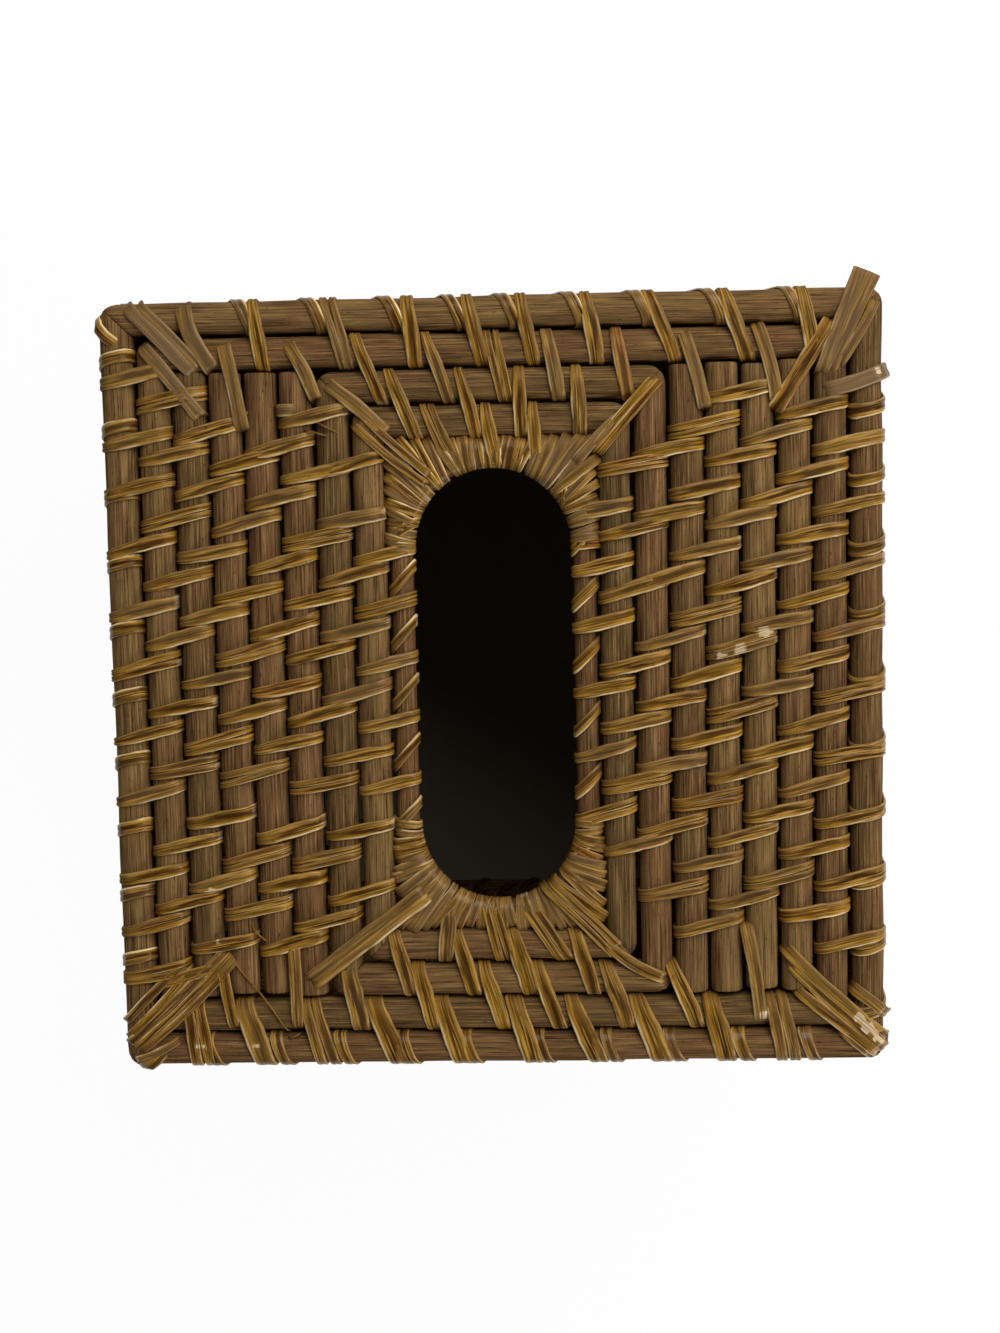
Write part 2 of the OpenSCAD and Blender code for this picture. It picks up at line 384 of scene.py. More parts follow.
def peel_skin_and_sheen(tree, along, place):
    """The bare skin, with painted light on it: a greyish painted sheen where it leaves one seam,
    then dark, and a golden painted highlight before the next seam. Its lower side is painted
    golden as lit, and its upper side takes a greyer painted sheen."""
    patches = fibre_noise(tree, 7, 3, 2.0, 0.5, 13.0)
    run = combined(tree, "ADD", along, times(tree, patches, 0.5))
    # Along the strip: greyish painted sheen at the start, golden painted highlight at the end.
    skin = ramp(tree, stretched(tree, run, 0.2, 1.3),
                [(0.0, "#88683C"), (0.22, "#7A5828"), (0.42, "#5C3C06"), (0.75, "#6C4A0A"),
                 (1.0, "#AC7820")])
    hue = ramp(tree, stored(tree, "tone"),
               [(0.0, "#401E02"), (0.3, "#96701E"), (0.6, "#8E6A1E"), (0.8, "#7A4A10"),
                (1.0, "#A04C0A")])
    skin = blended(tree, 0.4, skin, hue)
    # Across the strip: golden painted light on the lower side, greyer painted sheen on the upper
    # side.
    return tinted(
        tree, skin, ("#B48024", place, -0.1, -0.6, 0.55), ("#805E36", place, 0.3, 0.8, 0.6)
    )


def peel_streak(tree, kind, along, place):
    """How dark the streak along a strip's middle is. Some strips hardly have one."""
    return times(
        tree,
        stretched(tree, combined(tree, "ABSOLUTE", place), 0.50, 0.16),
        stretched(tree, along, 0.1, 0.4, 0.1, 0.95),
        stretched(tree, kind, 0.60, 0.48, 0.2, 1.0),
    )


def painted_rim_highlights(tree, skin, along, across):
    """Paints highlights along both edges: pale cream on the lower one, golden on the upper one,
    with more of it on the lower one.
    """
    rim_highlight_breaks = fibre_noise(tree, 6, 1.6, 2.0, 0.6, 31.0)
    # Painted highlight on the lower edge, broken up by noise and faint near the strip's start.
    lower = times(
        tree,
        stretched(tree, across, -0.68, -0.82),
        stretched(tree, rim_highlight_breaks, 0.36, 0.56, 0.15, 1.0),
        stretched(tree, along, 0.2, 0.45, 0.2, 1.0),
    )
    upper = times(
        tree, stretched(tree, across, 0.70, 0.84), stretched(tree, rim_highlight_breaks, 0.60, 0.42, 0.1, 0.6)
    )
    return blended(tree, upper, blended(tree, lower, skin, "#F6DCA8"), "#B88E4A")


def peel_pale_ends_and_glints(tree, kind, along, fibres):
    """Where pale cream is painted: at the frayed ends of some strips, partly pale cut wood and
    partly a painted glint, and at the marks, which are chips to pale wood and painted glints.
    """
    frayed = combined(tree, "ADD", along, times(tree, fibres, 0.2))
    some = stretched(tree, kind, 0.42, 0.36, 0.0, 0.6)
    marked = stretched(tree, along, PALE_MARK_SPAN - 0.3, PALE_MARK_SPAN - 0.2)
    cut = times(tree, stretched(tree, frayed, 1.04, 1.1), combined(tree, "MAXIMUM", some, marked))
    return times(tree, cut, stretched(tree, fibres, 0.38, 0.56, 0.1, 0.9))


def rattan_peel():
    """Split rattan peel, shaved to a strip and lacquered: a golden skin with fine long fibres, a
    dark streak along its middle, painted highlights along its edges, pale ends and chips that are
    partly painted glints, painted sheen, painted shade in the seams, and a clear gloss that catches
    light in lines."""
    made, tree = new_material("split_rattan_peel_lacquered")
    shade = stored(tree, "shade")
    span = add_node(tree, "UVMap", {"uv_map": "span"})
    parts = add_node(tree, "SeparateXYZ", {"Vector": span.outputs["UV"]})
    along, across = parts.outputs["X"], parts.outputs["Y"]
    sway = combined(tree, "SUBTRACT", fibre_noise(tree, 9, 200, 1.0, 0.5, 5.0), 0.5)
    place = combined(tree, "ADD", across, times(tree, sway, 1.6))
    kind = fibre_noise(tree, 45, 200, 0.0, 0.5, 23.0)
    fibres = fibre_noise(tree, 12, 0.3, 3.0, 0.65)
    knots = fibre_noise(tree, 2.2, 1.1, 2.0, 0.5, 17.0)
    skin = peel_skin_and_sheen(tree, along, place)
    skin = blended(tree, peel_streak(tree, kind, along, place), skin, "#3A1C00")
    skin = tinted(
        tree, skin, ("#321A02", fibres, 0.49, 0.37, 0.85), ("#D0A04A", fibres, 0.53, 0.64, 0.65)
    )
    skin = painted_rim_highlights(tree, skin, along, across)
    skin = tinted(tree, skin, ("#3E1E04", knots, 0.66, 0.78, 0.7))
    skin = blended(tree, stored(tree, "wear"), skin, "#786042")
    # Pale cream at the ends and marks: partly pale cut wood and chips, partly painted glints.
    skin = blended(tree, peel_pale_ends_and_glints(tree, kind, along, fibres), skin, "#E4CCA6")
    # Painted shade: dark brown where the shade mask marks a seam.
    skin = tinted(tree, skin, ("#462408", shade, 1.0, 0.0, 0.65))
    # The gloss fades with the painted-shade mask, and near the strip's start.
    in_light = times(tree, shade, stretched(tree, along, 0.1, 0.4, 0.1, 1.0))
    surfaced(tree, skin, fibres, 0.6, 0.08,
             {"Roughness": 0.36, "IOR": 1.5, "Specular Tint": "#FFDCA4",
              "Coat Roughness": 0.22, "Coat IOR": 1.5,
              "Specular IOR Level": times(tree, in_light, 0.25),
              "Coat Weight": times(tree, in_light, 0.3)})
    return made


# Rods
# Points round a rod and millimetres along it from ring to ring, on the top and in the walls
ROD_SIDES = 20
ROD_STEP = 1.3
WALL_SIDES = 12
WALL_STEP = 3.2
# A rod keeps this share of the CAD rod's radius, and is oval by another
FULLNESS = 0.985
OVAL = 0.022
# Pressed against its neighbours, a rod is a little squarer than round, and wider than high
SQUARE = 2.5
WIDENED = 1.02
# A mitred rod ends this far before the mitre, and only this much of its end is cut to shape
MITRE_GAP = 0.14
CUT_LENGTH = 1.5
# Towards its ends a rod straightens out over this length
CALM_LENGTH = 12
# A straight rod ends at least this far before the CAD one does
SHEAR_GAP = 0.2
# Rings along the bent rod, and points round it
BENT_RINGS = 180
BENT_SIDES = 16


def angles(sides):
    """The angles of a rod's points round it, from the lowest one."""
    return np.linspace(0, math.tau, sides + 1)[:-1] - math.pi / 2


def squared(turn):
    """How much further a squared rod reaches than a round one, at an angle round it."""
    return (np.abs(np.cos(turn)) ** SQUARE + np.abs(np.sin(turn)) ** SQUARE) ** (-1 / SQUARE)


def rod_rings(rng, length, step, sides, limit, soft=0.15):
    """A rod along its own middle, a little bent. It is cut at both ends where limit says, for the
    distance of each point out from the middle, and its cut edges are softened."""
    t = np.linspace(-length, length, int(2 * length / step) + 1)
    scale = np.concatenate([[0.5, 0.9], np.ones(len(t)), [0.9, 0.5]])[:, None]
    t = np.concatenate([[-length - soft] * 2, t, [length + soft] * 2])[:, None]
    turn = angles(sides)
    shape = 1 + OVAL * np.cos(2 * turn + rng.uniform(0, 6))
    shape = shape + OVAL / 2 * np.cos(3 * turn + rng.uniform(0, 6))
    thick = (1 + drift(rng, t, 45, 0.012)) * scale
    r = FULLNESS * ROD_R * (shape * squared(turn)) * thick
    calm = np.clip((length - np.abs(t)) / CALM_LENGTH, 0, 1)
    out = WIDENED * r * np.cos(turn)
    up = r * np.sin(turn) + calm * drift(rng, t, 60, 0.05)
    ends = limit(out)
    held = ends.min() - CUT_LENGTH
    share = np.clip((np.abs(t) - held) / (length - held), 0, None)
    along = np.where(np.abs(t) > held, np.sign(t) * (held + share * (ends - held)), t)
    out = out + calm * drift(rng, t, 70, 0.10)
    return out, along, up, turn


def rod_strand(rng, out, along, up, turn, side_open, open_out=False):
    """Gives the rings of a rod their fibre and painted shade. A rod lies between others, so it is
    painted dark on its sides and left open above. The outermost ones are open on their outer side
    too."""
    fibre = np.concatenate([along, along[:, :1]], 1) + rng.uniform(0, 500)
    round_it = np.append(turn, turn[0] + math.tau) * ROD_R + rng.uniform(0, 90)
    bright = np.maximum(np.sin(turn), np.cos(turn)) if open_out else np.sin(turn)
    shade = np.clip((bright + 0.05) / 0.3, side_open, 1)
    return strand(np.stack([out, along, up], -1), fibre, round_it, rng.uniform(0, 1), shade)


def mitred(half_along):
    """Where a rod of a square ends: on the mitre, and on the square's rounded outer corner."""
    inset = ROD_R + SLACK - CORNER_R

    def limit(out):
        reach_out = np.clip(out - inset, 0, CORNER_R)
        round_end = half_along + inset + np.sqrt(CORNER_R**2 - reach_out**2)
        return np.minimum(half_along + out - MITRE_GAP, round_end)

    return limit


def mitred_strand(name, half, k, height, step, sides, open_out):
    """The rod on side k of a square that reaches half[0] along X and half[1] along Y."""
    rng = seeded(name)
    across, length = half[k % 2], half[(k + 1) % 2]
    made = rod_strand(rng, *rod_rings(rng, length, step, sides, mitred(length)), 0.12, open_out)
    made["points"] = turned(made["points"] + (across, 0, height), k)
    return made


def add_square_rods(core):
    """The four squares of rods on the top."""
    for ring in RINGS:
        for k, side in enumerate(SIDES):
            node = f"{ring}_rod_{side}"
            made = mitred_strand(node, HALF[ring], k, TOP_Z, ROD_STEP, ROD_SIDES, ring == "edge")
            add_piece(node, [made], core)


def cut_square(length):
    """Where a rod ends that is cut straight across."""
    return lambda out: np.full_like(out, length)


def add_straight_rods(core):
    """Their ends were cut with shears: none reaches quite as far as the next."""
    for side in ("left", "right"):
        for n in STRAIGHTS:
            node = f"straight_rod_{side}_{n}"
            rng = seeded(node)
            length = reach(node)[1] - SHEAR_GAP
            short = rng.uniform([0.1, 0.6], [0.9, 1.5])
            limit = cut_square(length)
            out, along, up, turn = rod_rings(rng, length, ROD_STEP, ROD_SIDES, limit, 0.3)
            along = along * (1 - np.where(along > 0, *short) / length)
            made = rod_strand(rng, out, along, up, turn, 0.1)
            made["points"] += (middle(node)[0], 0, TOP_Z)
            add_piece(node, [made], core)


def add_wall_courses(core):
    """A wall's rods are open to the light outside and inside, and painted dark as shade in the
    seams.
    """
    shade = np.clip((np.abs(np.cos(angles(WALL_SIDES))) - 0.1) / 0.6, 0.1, 1)
    for node in COURSES:
        height = middle(node)[2]
        strands = [
            mitred_strand(f"{node}{k}", HALF["edge"], k, height, WALL_STEP, WALL_SIDES, True)
            for k in range(4)
        ]
        for made in strands:
            made["shade"] = shade
        add_piece(node, strands, core)


def stadium(places, out):
    """Points of a line that runs round the opening, out of the bent rod's middle by some distance.
    Places are distances along that middle from the right-hand side's middle."""
    places = np.mod(places, LAP)
    half = np.where(places < LAP / 2, 1, -1)
    way = np.mod(places, LAP / 2) - BENT_Y
    turn = np.clip(way / BENT_X, 0, math.pi)
    straight = BENT_Y + np.minimum(way, 0) - np.maximum(way - BEND, 0)
    return half * (BENT_X + out) * np.cos(turn), half * (straight + (BENT_X + out) * np.sin(turn))


def add_opening_rod(core):
    """The closed bent rod that forms the slot."""
    s = np.linspace(0, LAP, BENT_RINGS + 1)[:, None]
    turn = np.linspace(0, math.tau, BENT_SIDES + 1) - math.pi / 2
    r = (0.97 * BENT_R * (1 + 0.015 * np.cos(2 * turn)))[:-1]
    x, y = stadium(s[:-1], r * np.cos(turn[:-1]))
    z = TOP_Z + np.broadcast_to(r * np.sin(turn[:-1]), x.shape)
    # Painted shade: darker on the rod's lower side, down in the seams.
    shade = np.clip((np.sin(turn[:-1]) - 0.1) / 0.6, 0.15, 1)
    made = strand(np.stack([x, y, z], -1), s, turn * BENT_R, 0.5, shade, closed=True)
    add_piece("opening_rod", [made], core)


# Strips
# Places across a strip from -1 to 1 and its height there as a share of its thickness, first over
# its skin and then below it. Most strips in the walls have fewer.
SKIN_ACROSS = np.array([-1.0, -0.93, -0.74, -0.4, 0.0, 0.4, 0.74, 0.93, 1.0, 0.9, -0.9])
SKIN_HEIGHT = np.array([0.25, 0.60, 0.90, 0.96, 0.74, 0.90, 0.96, 0.62, 0.25, 0.0, 0.0])
WALL_ACROSS = np.array([-1.0, -0.75, 0.0, 0.75, 1.0, 0.0])
WALL_HEIGHT = np.array([0.25, 0.80, 0.95, 0.80, 0.25, 0.0])
# Millimetres from ring to ring along a laid strip
STRIP_STEP = 0.9
# Points of a strip's path round each of two rods, and between them
TOP_PATH = (11, 5)
EDGE_PATH = (11, 1)
WALL_PATH = (7, 1)


def arc_points(centre, radius, turn):
    """Places on a squared circle at some angles round it, and the directions away from it."""
    far = radius * squared(turn)
    x, z = np.cos(turn), np.sin(turn)
    return np.stack([centre + far * x, far * z, x, z], 1)


def loop_path(apart, first, second, arc, line):
    """A line drawn tight round two circles, clockwise from below: its places, directions away
    from the circles, and distances along it."""
    tilt = math.asin((second - first) / apart)
    left = np.linspace(1.5 * math.pi - tilt, math.pi / 2 + tilt, arc)
    right = np.linspace(math.pi / 2 + tilt, -math.pi / 2 - tilt, arc)
    rows = arc_points(-apart / 2, first, left)
    over = arc_points(apart / 2, second, right)
    between = np.linspace(0, 1, line + 2)[1:-1, None]
    top = rows[-1] * (1 - between) + over[0] * between
    below = over[-1] * (1 - between) + rows[0] * between
    path = np.roll(np.concatenate([rows, top, over, below]), (line + 1) // 2, axis=0)
    steps = np.hypot(*np.diff(np.vstack([path, path[:1]])[:, :2], axis=0).T)
    return path, np.concatenate([[0], np.cumsum(steps)])


def stitch(
    rng, path, lengths, lean, width, tone, wear, lift=0.0, roll=0.0, bow=0.0, fine=True,
    start=0.62, end=0.92, open_end=False,
):
    """A strip closed round the path, for rods that lie along Y with the strip drawn across them
    along X. It leans by a share of the way across, and start and end are the shares of its width
    that are left where it turns down. Only an open end is in the light there."""
    across_at, height_at = (SKIN_ACROSS, SKIN_HEIGHT) if fine else (WALL_ACROSS, WALL_HEIGHT)
    x, z, aside, up = np.split(path, 4, axis=1)
    share = x / np.abs(x).max()
    inner = 1 - share**2
    narrow = 1 - np.where(share < 0, 1 - start, 1 - end) * np.abs(share) ** 1.6
    half = width / 2 * narrow * (1 + drift(rng, lengths[:-1, None], 12, 0.03))
    raised = np.clip(up, 0, 1) * inner
    tall = PEEL_T * height_at + raised * (lift + roll * across_at + abs(roll))
    y = lean * x + bow * inner + half * across_at
    for sign in (-1, 1):
        y += drift(rng, lengths[:-1, None], 7, 0.018 * width) * np.clip(sign * across_at, 0, 1)
    # Painted shade: dark where the strip turns down into a seam, and darker again at its start end.
    shade = np.clip(((np.maximum(up, aside) if open_end else up) + 0.05) / 0.5, 0.05, 1)
    shade = shade * (1 - 0.45 * np.clip((-share - 0.7) / 0.3, 0, 1))
    return strand(
        np.stack([x + aside * tall, y, z + up * tall], -1),
        rng.uniform(0, 500) + lengths[:, None],
        np.append(across_at, across_at[0]),
        tone,
        shade,
        wear,
        np.append(share, share[:1], 0) / 2 + 0.5,
        closed=True,
    )


def stitch_or_two(rng, path, lengths, lean, width):
    """A stitch as it was drawn through. Some strips split, and then two narrow ones lie there."""
    tone = tone_of(rng)
    wear = wear_of(rng)
    lift = rng.uniform(0, 0.08)
    bow = rng.uniform(-0.1, 0.25)
    if rng.uniform() > SPLIT_SHARE:
        roll = rng.uniform(-0.06, 0.06)
        start = rng.uniform(0.6, 0.85)
        return [stitch(rng, path, lengths, lean, width, tone, wear, lift, roll, bow, start=start)]
    made = []
    for side in (-1, 1):
        part = stitch(
            rng, path, lengths, lean + side * rng.uniform(-0.03, 0.04), 0.54 * width,
            tone_of(rng), wear, lift, side * 0.03, bow, start=0.8,
        )
        part["points"][..., 1] += side * 0.27 * width
        made.append(part)
    return made


def tone_of(rng):
    """Most strips are golden, some brown, and a few amber."""
    return np.clip(rng.normal(0.45, 0.22), 0, 1)


def wear_of(rng):
    """How much of the lacquer's colour has worn to grey-brown."""
    return np.clip(rng.normal(0.04, 0.14), 0, 0.5)


# Rows of the photograph where the stitches of each pair of rods cross the seam between them. The
# first pair of each side is the outermost.
LEFT_ROWS = (
    (376, 440, 488, 547, 611, 668, 735, 795, 875, 926, 974),
    (400, 455, 519, 580, 639, 709, 769, 846, 904, 976),
    (432, 488, 553, 616, 680, 743, 819, 882, 945),
    (463, 524, 594, 653, 713, 774, 859, 910),
    (447, 498, 563, 628, 688, 745, 832, 884, 945),
    (416, 474, 539, 600, 653, 715, 784, 860, 922),
    (465, 519, 576, 631, 694, 757, 831, 894),
    (555, 606, 665, 723, 786),
)
RIGHT_ROWS = (
    (443, 505, 568, 630, 693, 755, 818, 880, 943),
    (408, 471, 534, 597, 660, 723, 786, 849, 912),
    (433, 496, 560, 623, 687, 750, 813, 877),
    (391, 455, 518, 582, 645, 709, 772, 836, 899),
    (425, 488, 550, 613, 675, 738, 801, 863, 926),
    (450, 513, 576, 639, 702, 765, 828, 891),
    (465, 529, 589, 664, 723, 782, 845),
    (509, 566, 623, 690, 752, 815),
)
# Columns where the stitches of the rows at the back and at the front start and end, from the
# outer rod to the inner one at the back, and from the inner rod to the outer one at the front
BACK_COLUMNS = (
    ((250, 262), (325, 346), (405, 415), (465, 483), (519, 534), (584, 597), (647, 676), (723, 749),
     (801, 814)),
    ((353, 382), (423, 449), (490, 506), (545, 559), (615, 629)),
    ((387, 416), (457, 476), (518, 521), (575, 580)),
    ((426, 456), (484, 498), (532, 536)),
)
FRONT_COLUMNS = (
    ((193, 203), (243, 266), (309, 329), (372, 400), (440, 463), (513, 534), (571, 600), (636, 663),
     (710, 728), (775, 791)),
    ((347, 362), (417, 435), (483, 505), (537, 561), (605, 629), (670, 699)),
    ((392, 412), (455, 475), (511, 532), (574, 595)),
    ((450, 445), (487, 506), (523, 567)),
)
# Width of the stitches at the left and the right, and of those at the back and the front from the
# outermost pair of rods inwards
STITCH_WIDTH = 2.65
BACK_WIDTHS = (2.9, 2.7)
FRONT_WIDTHS = (4.2, 3.4)
# The share of strips that split in two
SPLIT_SHARE = 0.2
# How far the stitches at the left and the right lean, as a share of the way across
COLUMN_LEAN = 0.22


def pair_path(rods, first, second):
    """A strip's path round two rods of a side, of which the last is the thinner bent one."""
    near, far = ((BENT_R if place == rods[-1] else ROD_R) + SLACK for place in (first, second))
    return loop_path(abs(second - first), near, far, *TOP_PATH)


def column_stitches(name, rods, rows):
    """Stitches over the rods of the left or the right side."""
    strands = []
    for pair, places in enumerate(rows):
        low, high = sorted(rods[pair : pair + 2])
        path, lengths = pair_path(rods, low, high)
        x = (low + high) / 2
        for place in places:
            rng = seeded(f"{name}{pair}_{place}")
            lean = COLUMN_LEAN + rng.uniform(-0.06, 0.06)
            width = STITCH_WIDTH * rng.uniform(0.9, 1.1)
            for made in stitch_or_two(rng, path, lengths, lean, width):
                made["points"] += (x, photo_meets(place, 1, x), TOP_Z)
                strands.append(made)
    return strands


def row_stitches(name, rods, columns, widths):
    """Stitches over the rods of the back or the front, which run along X."""
    strands = []
    for pair, places in enumerate(columns):
        low, high = sorted(rods[pair : pair + 2])
        path, lengths = pair_path(rods, high, low)
        y = (low + high) / 2
        far = (high - low) / 2 + ROD_R
        broad = widths[min(pair, len(widths) - 1)]
        for begin, end in places:
            rng = seeded(f"{name}{pair}_{begin}")
            upper = photo_meets(begin, 0, y + far)
            lower = photo_meets(end, 0, y - far)
            lean = (lower - upper) / (2 * far)
            width = broad * rng.uniform(0.88, 1.1)
            for made in stitch_or_two(rng, path, lengths, lean, width):
                made["points"] = made["points"][..., [1, 0, 2]] * (1, -1, 1)
                made["points"] += ((upper + lower) / 2, y, TOP_Z)
                strands.append(made)
    return strands


def add_top_stitches(peel):
    groups = {
        "right": pale_marked(column_stitches("right", RIGHT_RODS, RIGHT_ROWS)),
        "left": pale_marked(column_stitches("left", LEFT_RODS, LEFT_ROWS)),
        "back": row_stitches("back", BACK_RODS, BACK_COLUMNS, BACK_WIDTHS),
        "front": pale_marked(row_stitches("front", FRONT_RODS, FRONT_COLUMNS, FRONT_WIDTHS)),
    }
    for side, strands in groups.items():
        add_piece(f"top_stitches_{side}", strands, peel)


# How far the stitches slant over each side's edge rod
EDGE_SLANT = (0.2, 0.45, 0.2, 0.35)
# A wall's stitches: their distance, lean and width. A stretch at both corners has none, and on one
# side it is a little longer
WALL_GAP = 12.1
WALL_LEAN = -0.25
WALL_WIDTH = 2.6
WALL_FREE = 6
WALL_MORE = 2
# All of such a strip looks as the middle of its span does
MID_SPAN = 0.5
# Columns of the photograph where the stitches over the back and the front edge rod end
BACK_EDGE_COLUMNS = (245, 315, 392, 457, 511, 576, 644, 715, 796)
FRONT_EDGE_COLUMNS = (217, 287, 350, 413, 476, 549, 617, 682, 750, 817)


def stood_up(made, centre):
    """Stands a stitch up beside a wall, and returns how high, how far along and how far out."""
    made["span"] = np.full_like(made["span"], MID_SPAN)
    height, beside, outward = np.moveaxis(made["points"], -1, 0)
    return height + centre, beside, outward


def wall_places(k, course, rng):
    """Where the stitches of side k lie along the seam over a course."""
    out = HALF["edge"][k % 2]
    if course == 0 and SIDES[k] == "back":
        return [-photo_meets(c, 0, out - ROD_R) for c in BACK_EDGE_COLUMNS]
    if course == 0 and SIDES[k] == "front":
        return [photo_meets(c, 0, -out) for c in FRONT_EDGE_COLUMNS]
    half = HALF["edge"][(k + 1) % 2] - WALL_FREE
    shift = WALL_GAP / 2 * (course % 2)
    return np.arange(-half + WALL_MORE + shift, half, WALL_GAP) + rng.uniform(-0.5, 0.5)


def wall_strands(k, course):
    """Stitches of side k that tie a course of its wall to the one above."""
    upper, lower = HEIGHTS[course : course + 2]
    top = course == 0
    points = EDGE_PATH if top else WALL_PATH
    path, lengths = loop_path(upper - lower, ROD_R + SLACK, ROD_R + SLACK, *points)
    out = HALF["edge"][k % 2]
    rng = seeded(f"wall{k}_{course}")
    strands = []
    for place in wall_places(k, course, rng):
        made = stitch(
            rng, path, lengths, WALL_LEAN + rng.uniform(-0.05, 0.05),
            WALL_WIDTH * rng.uniform(0.9, 1.1), tone_of(rng), wear_of(rng),
            lift=rng.uniform(0, 0.05), fine=top, start=0.9, open_end=top,
        )
        height, beside, outward = stood_up(made, (upper + lower) / 2)
        if top:
            beside = beside + EDGE_SLANT[k] * (outward + (ROD_R if SIDES[k] == "back" else 0))
        made["points"] = turned(np.stack([outward + out, beside + place, height], -1), k)
        strands.append(made)
    return strands


def add_wall_stitches(peel):
    """The stitches of each wall. Those of the lowest seam are flat underneath: the cover's foot."""
    last = len(COURSES) - 1
    for k, side in enumerate(SIDES):
        strands = [s for course in range(last) for s in wall_strands(k, course)]
        add_piece(f"wall_stitches_{side}", strands, peel)
    strands = [s for k in range(4) for s in wall_strands(k, last)]
    for made in strands:
        made["points"][..., 2] = np.maximum(made["points"][..., 2], 0.0)
    add_piece("base_stitches", strands, peel)


# Strips that lie where the photograph shows them
def smooth_line(points):
    """A curve through points, in even steps."""
    points = np.array(points, float)
    padded = np.vstack([2 * points[0] - points[1], points, 2 * points[-1] - points[-2]])
    line = []
    for a, b, c, d in zip(padded, padded[1:], padded[2:], padded[3:]):
        count = max(2, int(np.linalg.norm(c - b) / STRIP_STEP))
        t = np.linspace(0, 1, count + 1)[:-1, None]
        line.append(0.5 * (2 * b + (c - a) * t + (2 * a - 5 * b + 4 * c - d) * t**2
                           + (3 * b - a - 3 * c + d) * t**3))
    return np.vstack(line + [points[-1:]])


def laid_strip(rng, points, width, tone, wear, lift, dips):
    """A strip laid flat through points over the rods' crowns, and lifted a little between its
    ends, which turn down by the depths in dips."""
    line = smooth_line([(x, y, CROWN_Z + SLACK) for x, y in points])
    gone = np.concatenate([[0], np.cumsum(np.linalg.norm(np.diff(line, axis=0), axis=1))])
    left = gone[-1] - gone
    for way, depth in ((gone, dips[0]), (left, dips[1])):
        line[:, 2] -= depth * np.clip(1 - way / DIP_LENGTH, 0, 1) ** 2
    line[:, 2] += lift * np.clip(np.minimum(gone, left) / 2, 0, 1)
    ahead = np.gradient(line, axis=0)
    ahead /= np.linalg.norm(ahead, axis=1)[:, None]
    aside = np.stack([-ahead[:, 1], ahead[:, 0], 0 * ahead[:, 0]], 1)
    aside /= np.linalg.norm(aside, axis=1)[:, None]
    up = np.cross(ahead, aside)
    half = width / 2 * (1 + drift(rng, gone, 14, 0.04))[:, None]
    made = line[:, None] + aside[:, None] * (half * SKIN_ACROSS)[..., None]
    made += up[:, None] * (PEEL_T * SKIN_HEIGHT)[:, None]
    along = (gone + rng.uniform(0, 500))[:, None]
    across = np.append(SKIN_ACROSS, SKIN_ACROSS[0])
    # Painted shade: darker where the strip sinks below the rods' crowns.
    shade = np.clip(1 - (CROWN_Z - line[:, 2]) / 1.8, 0.05, 1)[:, None]
    return strand(made, along, across, tone, shade, wear, (gone / gone[-1])[:, None])


# Millimetres on the top that a pixel of the photograph covers
PIXEL = 0.178
# A span beyond both ends of any strip: the material paints pale cream there, for chips to pale wood
# and for painted glints
PALE_MARK_SPAN = 1.5
# How deep and over what length a strip's end turns down, and how far one may stand out past the
# cover's edge
END_DIP = 2.5
DIP_LENGTH = 1.5
STAND_OUT = 4
# Strips over the mitres of the cover's corners: their pixels, width in pixels, tone and wear
CORNER_STRIPS = (
    ((124, 306), (155, 336), (193, 375), 14, 0.3, 0.8),
    ((136, 304), (167, 333), (200, 368), 11, 0.3, 0.6),
    ((140, 345), (170, 380), (201, 419), 15, 0.2, 0.6),
    ((181, 304), (190, 335), (212, 371), 17, 0.1, 0.5),
    ((861, 268), (842, 318), (821, 374), 15, 0.1, 0.6),
    ((874, 273), (852, 320), (828, 374), 14, 0.2, 0.5),
    ((877, 297), (862, 328), (838, 366), 11, 0.1, 0.4),
    ((832, 318), (806, 360), (774, 412), 16, 0.8, 0.0),
    ((822, 391), (858, 381), (888, 369), 16, 0.0, 0.8),
    ((184, 964), (152, 994), (124, 1024), 10, 0.0, 0.1),
    ((192, 970), (160, 1006), (127, 1040), 10, 0.1, 0.0),
    ((226, 950), (178, 998), (127, 1046), 10, 0.0, 0.1),
    ((232, 954), (185, 1004), (133, 1051), 8, 0.15, 0.0),
    ((237, 959), (192, 1008), (139, 1055), 8, 0.0, 0.1),
    ((180, 1040), (158, 1053), (133, 1063), 9, 0.1, 0.3),
    ((852, 988), (872, 1002), (888, 1016), 13, 0.4, 0.2),
    ((840, 1030), (856, 1043), (874, 1057), 10, 0.5, 0.2),
    ((796, 990), (837, 1022), (880, 1055), 12, 0.5, 0.1),
    ((790, 964), (828, 1000), (886, 1050), 13, 0.6, 0.1),
    ((785, 948), (824, 986), (886, 1039), 14, 0.4, 0.2),
)
# Strips over the mitres of the opening's frame
FRAME_CORNER_STRIPS = (
    ((324, 382), (355, 405), (388, 434), 15, 0.4, 0.4),
    ((361, 415), (396, 447), (431, 476), 9, 0.5, 0.1),
    ((352, 424), (390, 458), (428, 486), 9, 0.4, 0.1),
    ((661, 378), (630, 415), (597, 455), 9, 0.8, 0.0),
    ((654, 376), (622, 412), (590, 452), 8, 0.6, 0.0),
    ((620, 414), (596, 438), (573, 464), 11, 0.3, 0.6),
    ((308, 985), (368, 938), (428, 892), 21, 0.5, 0.3),
    ((550, 882), (590, 918), (622, 950), 10, 0.5, 0.1),
    ((542, 886), (582, 924), (616, 958), 8, 0.4, 0.1),
    ((600, 940), (636, 966), (668, 980), 13, 0.5, 0.1),
)
